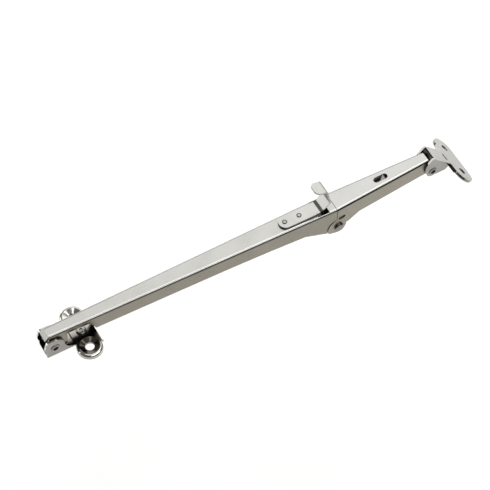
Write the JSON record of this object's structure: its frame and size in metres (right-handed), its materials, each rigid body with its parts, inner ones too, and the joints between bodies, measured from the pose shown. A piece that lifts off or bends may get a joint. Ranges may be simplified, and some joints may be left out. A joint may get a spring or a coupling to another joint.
{
  "type": "folding lock stay",
  "caption": "Two-arm folding stay in stainless channel: over-centre fold rivet, leaf lock with thumb tab, and a hinged screw-on clevis bracket at each end.",
  "frame": {"origin": "centre of the frame bracket's two screw holes, on its mounting face", "axes": "+X along the open stay from the frame bracket to the sash bracket, +Y across the stay along every pivot, +Z away from the surface the frame bracket is screwed to"},
  "size_m": [0.3324, 0.0446, 0.0515],
  "materials": {
    "arm": "satin stainless, drawn along the arm",
    "leaf": "spring stainless, fine satin",
    "bracket": "polished stainless pressing",
    "rivet": "turned stainless",
    "inner": "plain dull steel",
    "packing": "black fibre strip",
    "washer": "plain phosphor bronze"
  },
  "bodies": {
    "frame_end": {"frame_bracket": "bracket", "rest_stud": "rivet", "frame_pin": "rivet", "frame_sleeve": "inner", "frame_washers": "washer"},
    "long_half": {"long_arm": "arm", "backing_plate": "inner", "leaf_packing": "packing", "leaf_rivets": "rivet", "leaf_root": "leaf"},
    "lock": {"lock_leaf": "leaf", "thumb_tab": "leaf"},
    "short_half": {"short_arm": "arm", "fold_rivet": "rivet", "fold_spacers": "inner", "fold_washers": "washer", "lock_cam": "inner", "cam_key": "inner", "friction_leaf": "leaf"},
    "sash_end": {"sash_bracket": "bracket", "sash_pin": "rivet", "sash_sleeve": "inner", "sash_washers": "washer"}
  },
  "joints": [
    {"name": "frame_pivot", "type": "hinge", "parent": "frame_end", "child": "long_half", "pos_m": [-0.022, 0, 0.008], "axis": [0, -1, 0], "range_deg": [-4, 100]},
    {"name": "lock_lift", "type": "hinge", "parent": "long_half", "child": "lock", "pos_m": [0.1725, 0, 0.0217], "axis": [0, -1, 0], "range_deg": [0, 13], "stiffness_Nm_per_rad": 1.2, "springref_deg": -5.73},
    {"name": "fold_pivot", "type": "hinge", "parent": "long_half", "child": "short_half", "pos_m": [0.197, 0, -0.0005], "axis": [0, 1, 0], "range_deg": [0, 168]},
    {"name": "sash_pivot", "type": "hinge", "parent": "short_half", "child": "sash_end", "pos_m": [0.27455, 0, 0.01139], "axis": [0, 1, 0], "range_deg": [-8, 130]}
  ]
}
